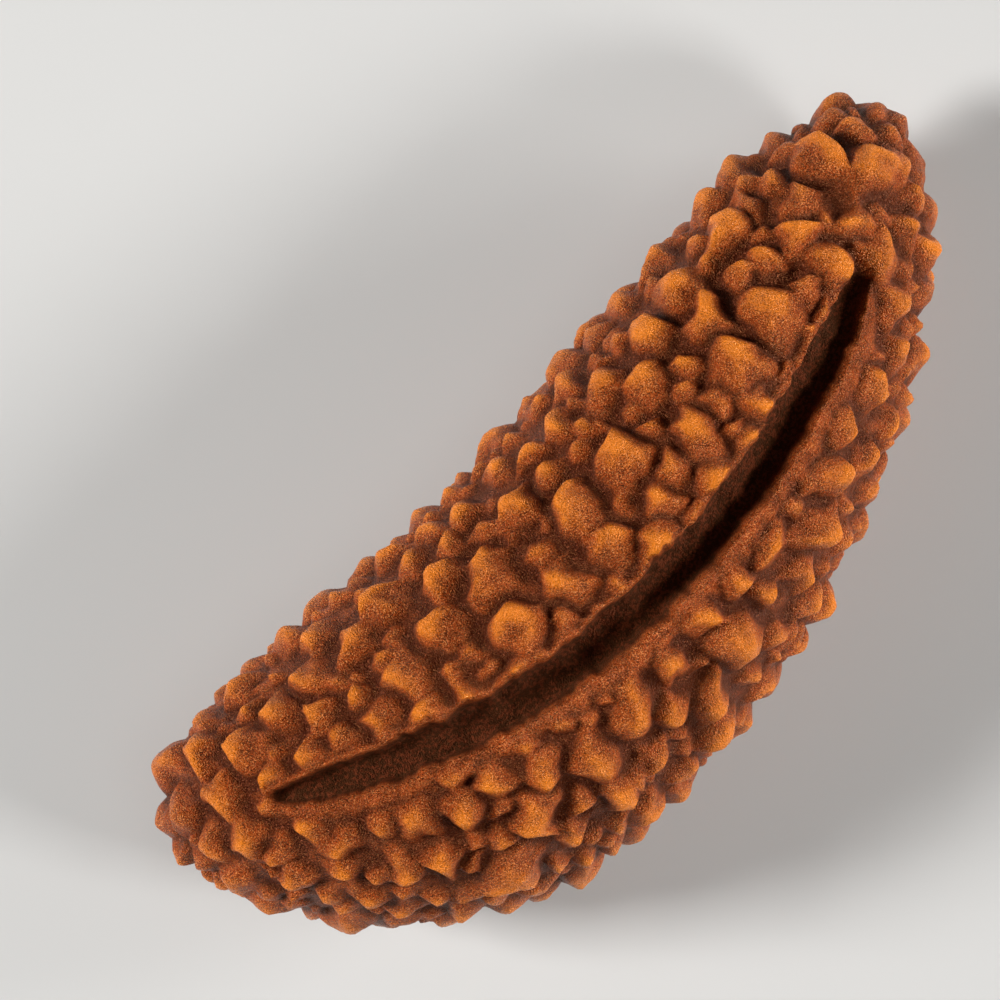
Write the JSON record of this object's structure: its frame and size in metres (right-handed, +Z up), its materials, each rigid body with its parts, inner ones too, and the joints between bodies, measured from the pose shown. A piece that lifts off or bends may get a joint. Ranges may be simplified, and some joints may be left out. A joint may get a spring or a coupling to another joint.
{
  "type": "one mukhi rudraksha bead",
  "caption": "Crescent seed stone with a knobbly tubercled surface, a deep slit along its face and a small flat spot to rest on.",
  "frame": {"origin": "the small flat spot that the bead rests on, under its weight", "axes": "+X along the bead, from its blunt end to its tapered end; +Y towards its straighter side; +Z up, the way the slit faces"},
  "size_m": [0.0302, 0.0126, 0.0091],
  "materials": {
    "seed_stone": "oiled, satin, darker in the hollows and in the slit"
  },
  "bodies": {
    "root": {"rudraksha_bead": "seed_stone"}
  },
  "joints": []
}
